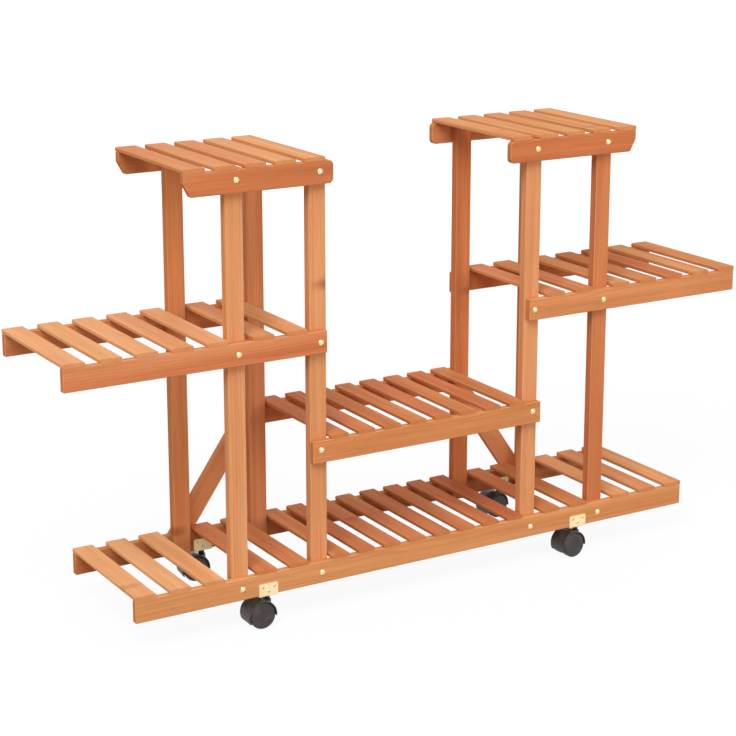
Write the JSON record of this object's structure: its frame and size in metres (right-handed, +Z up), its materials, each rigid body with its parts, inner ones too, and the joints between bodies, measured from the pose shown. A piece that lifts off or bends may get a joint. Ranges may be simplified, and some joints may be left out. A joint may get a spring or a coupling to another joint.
{
  "type": "rolling plant stand",
  "caption": "Low stained-wood plant stand with slatted shelves at stepped levels on post towers, bolted together and rolling on hooded swivel casters.",
  "frame": {"origin": "middle of the whole stand's length and depth, on the floor under the wheels", "axes": "+X along the stand to the right as seen from the front, +Y from front to back, +Z up"},
  "size_m": [1.36, 0.2958, 0.795],
  "materials": {
    "wood_rail": "satin stain",
    "wood_post": "satin stain",
    "wood_slat": "satin stain",
    "wood_brace": "satin stain",
    "brass_bolt": "polished plating",
    "brass_small": "polished plating",
    "brass_saddle": "pressed sheet, bright plating",
    "hood_plastic": "moulded",
    "wheel_plastic": "moulded",
    "black_steel": "blackened",
    "bright_steel": "drawn"
  },
  "bodies": {
    "stand": {"bolts_back": "brass_bolt", "bolts_front": "brass_bolt", "brace_left": "wood_brace", "brace_right": "wood_brace", "caster_back_left_kingpin": "black_steel", "caster_back_left_saddle": "brass_saddle", "caster_back_right_kingpin": "black_steel", "caster_back_right_saddle": "brass_saddle", "caster_front_left_kingpin": "black_steel", "caster_front_left_saddle": "brass_saddle", "caster_front_right_kingpin": "black_steel", "caster_front_right_saddle": "brass_saddle", "nuts_back": "brass_small", "nuts_front": "brass_small", "post_left_inner_back": "wood_post", "post_left_inner_front": "wood_post", "post_left_outer_back": "wood_post", "post_left_outer_front": "wood_post", "post_right_inner_back": "wood_post", "post_right_inner_front": "wood_post", "post_right_outer_back": "wood_post", "post_right_outer_front": "wood_post", "rail_bottom_back": "wood_rail", "rail_bottom_front": "wood_rail", "rail_middle_back": "wood_rail", "rail_middle_front": "wood_rail", "rail_side_left_back": "wood_rail", "rail_side_left_front": "wood_rail", "rail_side_right_back": "wood_rail", "rail_side_right_front": "wood_rail", "rail_top_left_back": "wood_rail", "rail_top_left_front": "wood_rail", "rail_top_right_back": "wood_rail", "rail_top_right_front": "wood_rail", "saddle_screws": "brass_small", "slats_bottom_left": "wood_slat", "slats_bottom_middle": "wood_slat", "slats_bottom_right": "wood_slat", "slats_middle": "wood_slat", "slats_side_left": "wood_slat", "slats_side_right": "wood_slat", "slats_top_left": "wood_slat", "slats_top_right": "wood_slat"},
    "caster_front_left": {"caster_front_left_hood": "hood_plastic", "caster_front_left_axle": "bright_steel"},
    "wheel_front_left_near": {"caster_front_left_wheel_near": "wheel_plastic"},
    "wheel_front_left_far": {"caster_front_left_wheel_far": "wheel_plastic"},
    "caster_front_right": {"caster_front_right_hood": "hood_plastic", "caster_front_right_axle": "bright_steel"},
    "wheel_front_right_near": {"caster_front_right_wheel_near": "wheel_plastic"},
    "wheel_front_right_far": {"caster_front_right_wheel_far": "wheel_plastic"},
    "caster_back_left": {"caster_back_left_hood": "hood_plastic", "caster_back_left_axle": "bright_steel"},
    "wheel_back_left_near": {"caster_back_left_wheel_near": "wheel_plastic"},
    "wheel_back_left_far": {"caster_back_left_wheel_far": "wheel_plastic"},
    "caster_back_right": {"caster_back_right_hood": "hood_plastic", "caster_back_right_axle": "bright_steel"},
    "wheel_back_right_near": {"caster_back_right_wheel_near": "wheel_plastic"},
    "wheel_back_right_far": {"caster_back_right_wheel_far": "wheel_plastic"}
  },
  "joints": [
    {"name": "caster_front_left_swivel", "type": "hinge", "parent": "stand", "child": "caster_front_left", "pos_m": [-0.325, -0.12672, 0.045], "axis": [0, 0, 1], "continuous": true},
    {"name": "caster_front_left_near_roll", "type": "hinge", "parent": "caster_front_left", "child": "wheel_front_left_near", "pos_m": [-0.34099, -0.12616, 0.023], "axis": [0.0349, 0.9994, 0], "continuous": true},
    {"name": "caster_front_left_far_roll", "type": "hinge", "parent": "caster_front_left", "child": "wheel_front_left_far", "pos_m": [-0.34099, -0.12616, 0.023], "axis": [0.0349, 0.9994, 0], "continuous": true},
    {"name": "caster_front_right_swivel", "type": "hinge", "parent": "stand", "child": "caster_front_right", "pos_m": [0.325, -0.12672, 0.045], "axis": [0, 0, 1], "continuous": true},
    {"name": "caster_front_right_near_roll", "type": "hinge", "parent": "caster_front_right", "child": "wheel_front_right_near", "pos_m": [0.30902, -0.12756, 0.023], "axis": [-0.0523, 0.9986, 0], "continuous": true},
    {"name": "caster_front_right_far_roll", "type": "hinge", "parent": "caster_front_right", "child": "wheel_front_right_far", "pos_m": [0.30902, -0.12756, 0.023], "axis": [-0.0523, 0.9986, 0], "continuous": true},
    {"name": "caster_back_left_swivel", "type": "hinge", "parent": "stand", "child": "caster_back_left", "pos_m": [-0.325, 0.12328, 0.045], "axis": [0, 0, 1], "continuous": true},
    {"name": "caster_back_left_near_roll", "type": "hinge", "parent": "caster_back_left", "child": "wheel_back_left_near", "pos_m": [-0.34084, 0.12551, 0.023], "axis": [0.1392, 0.9903, 0], "continuous": true},
    {"name": "caster_back_left_far_roll", "type": "hinge", "parent": "caster_back_left", "child": "wheel_back_left_far", "pos_m": [-0.34084, 0.12551, 0.023], "axis": [0.1392, 0.9903, 0], "continuous": true},
    {"name": "caster_back_right_swivel", "type": "hinge", "parent": "stand", "child": "caster_back_right", "pos_m": [0.325, 0.12328, 0.045], "axis": [0, 0, 1], "continuous": true},
    {"name": "caster_back_right_near_roll", "type": "hinge", "parent": "caster_back_right", "child": "wheel_back_right_near", "pos_m": [0.30916, 0.12105, 0.023], "axis": [-0.1392, 0.9903, 0], "continuous": true},
    {"name": "caster_back_right_far_roll", "type": "hinge", "parent": "caster_back_right", "child": "wheel_back_right_far", "pos_m": [0.30916, 0.12105, 0.023], "axis": [-0.1392, 0.9903, 0], "continuous": true}
  ]
}
